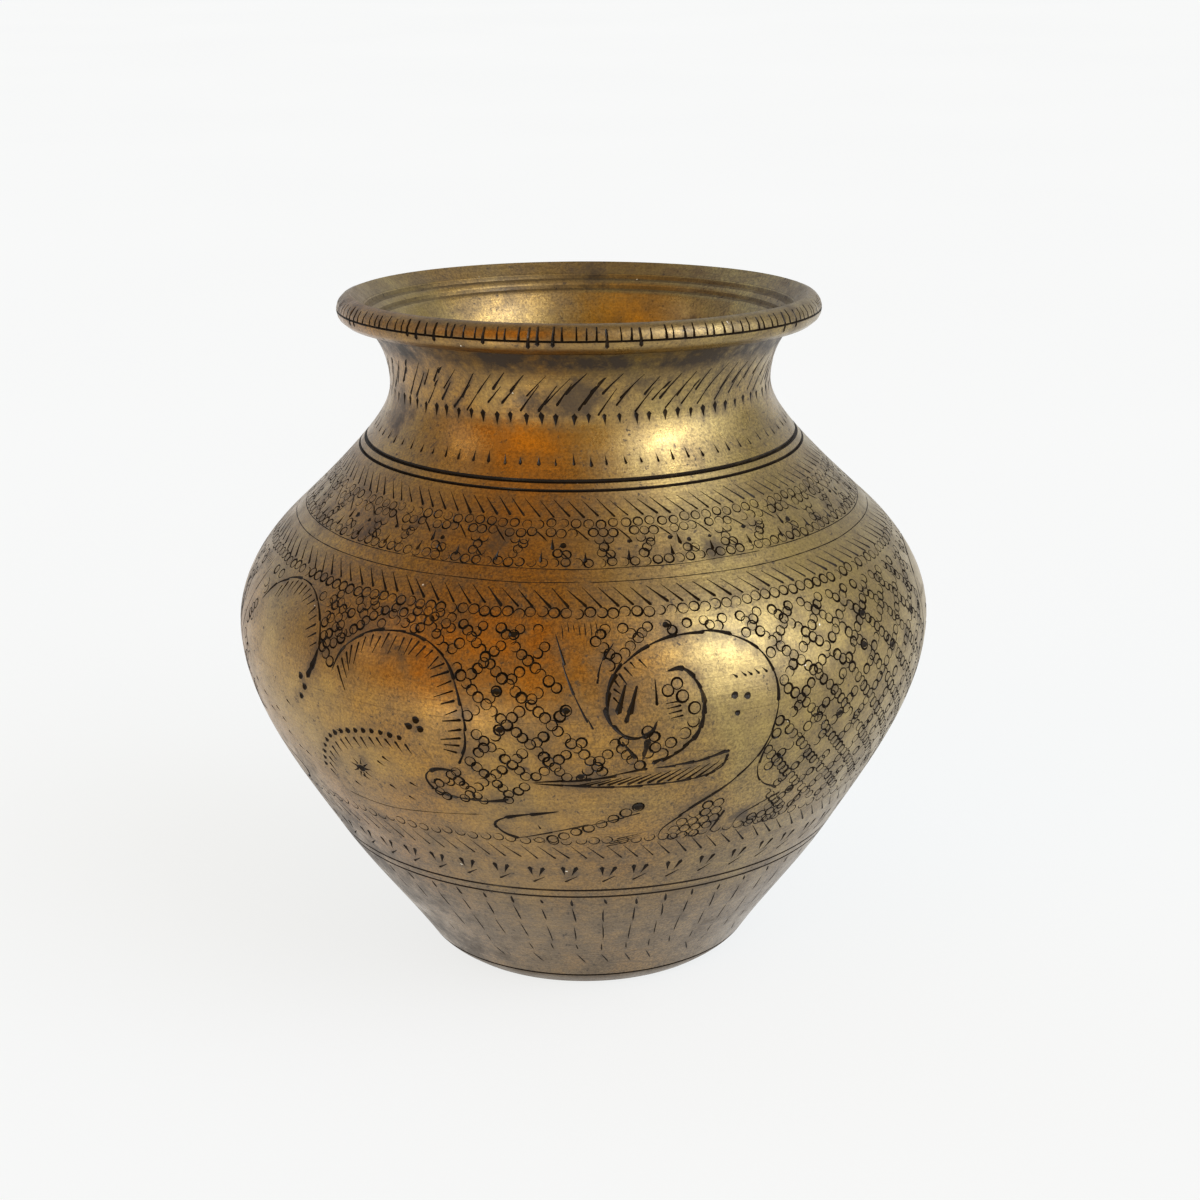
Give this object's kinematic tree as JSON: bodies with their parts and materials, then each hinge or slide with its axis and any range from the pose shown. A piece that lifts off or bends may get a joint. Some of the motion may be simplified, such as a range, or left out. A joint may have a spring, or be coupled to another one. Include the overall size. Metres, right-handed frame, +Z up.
{
  "type": "lota water pot",
  "caption": "Round-bellied brass water pot with a flared neck, a beaded rim, engraved bands and a flat foot ring.",
  "frame": {"origin": "centre of the pot's foot on the surface it stands on", "axes": "+Z up along the pot's axis from foot to mouth, +X to the right and -Y towards the viewer in the front view"},
  "size_m": [0.12, 0.12, 0.1179],
  "materials": {
    "base_brass": "turned, dull grey-brown patina",
    "body_brass": "aged and hand engraved, dark patina in the cuts",
    "neck_brass": "aged, punched and stroked, dark stains under the rim",
    "rim_brass": "worn bright, chiselled notches above a turned crease"
  },
  "bodies": {
    "root": {"base_plate": "base_brass", "lower_bowl": "body_brass", "shoulder_shell": "body_brass", "neck_collar": "neck_brass", "rim_ring": "rim_brass"}
  },
  "joints": []
}
